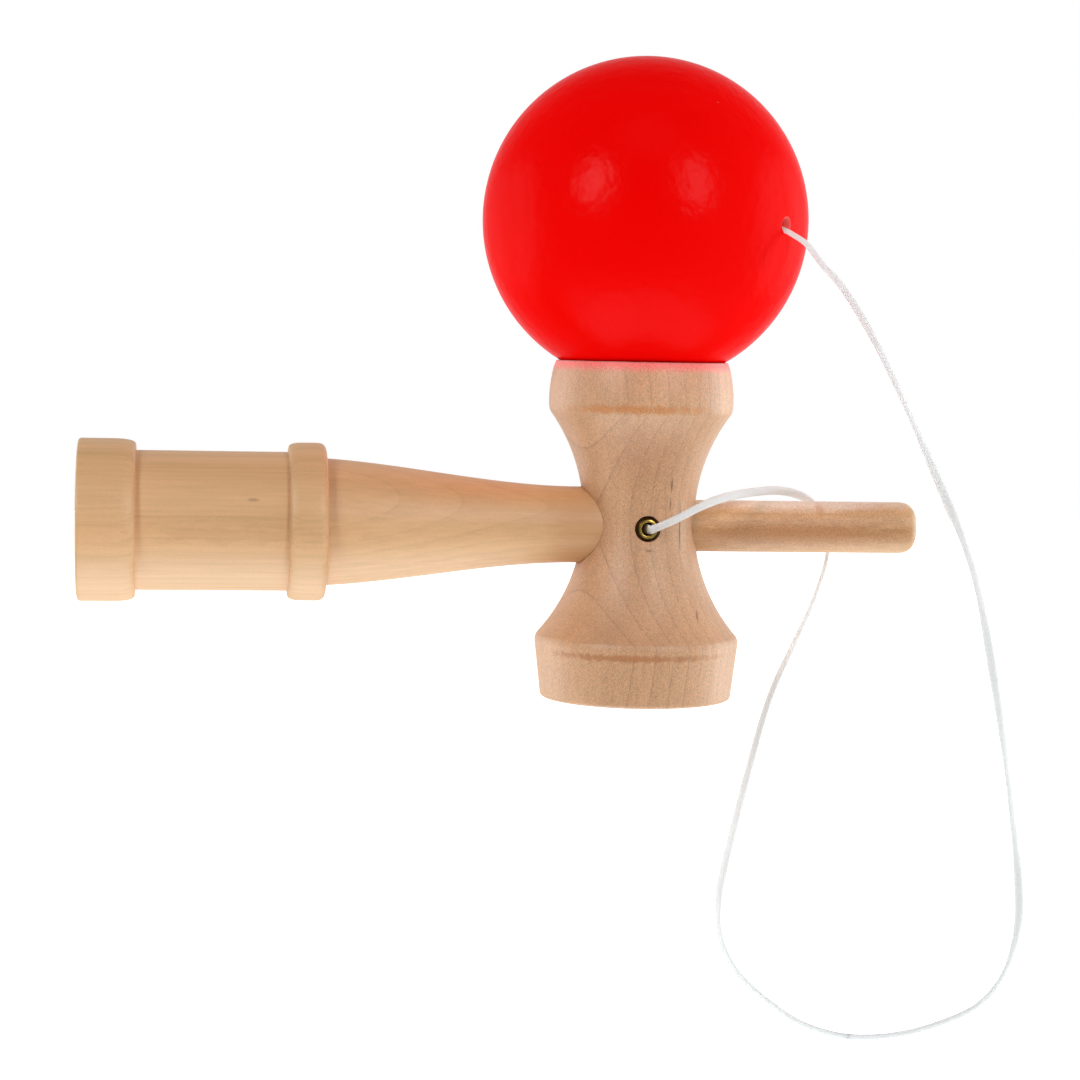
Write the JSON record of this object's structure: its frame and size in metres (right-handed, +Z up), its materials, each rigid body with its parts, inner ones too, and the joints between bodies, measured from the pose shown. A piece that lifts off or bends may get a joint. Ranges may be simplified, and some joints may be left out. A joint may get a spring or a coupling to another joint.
{
  "type": "cup and ball toy",
  "caption": "Turned wooden cup and ball toy: a spiked handle through a crosspiece with a cup at each end, and a lacquered ball on a string.",
  "frame": {"origin": "on the handle's axis, at the middle of the straight grip", "axes": "+X along the handle towards the spike, +Z up along the crosspiece towards the ball, +Y away from the side with the eyelet"},
  "size_m": [0.1931, 0.065, 0.2005],
  "materials": {
    "handle_wood": "smooth sanded pale hardwood, unvarnished",
    "crosspiece_wood": "sanded pale hardwood, unvarnished, slightly rough",
    "eyelet_brass": "tarnished brass with a worn lip",
    "cord": "white flat braided cord",
    "red_lacquer": "turned wood with glossy red lacquer",
    "bead_wood": "plain turned wood"
  },
  "bodies": {
    "ken": {"ken": "handle_wood", "crosspiece": "crosspiece_wood", "eyelet": "eyelet_brass", "handle_knot": "cord", "string_in_handle": "cord", "string": "cord"},
    "ball": {"ball": "red_lacquer"},
    "bead": {"bead": "bead_wood", "bead_knot": "cord", "string_in_ball": "cord"}
  },
  "joints": [
    {"name": "ball_lift", "type": "slide", "parent": "ken", "child": "ball", "axis": [0, 0, 1], "range_m": [0, 0.22], "deforming": ["string"]},
    {"name": "bead_swivel", "type": "hinge", "parent": "ball", "child": "bead", "pos_m": [0.0853, 0, 0.06089], "axis": [0.7309, -0.6816, -0.0349], "continuous": true}
  ]
}
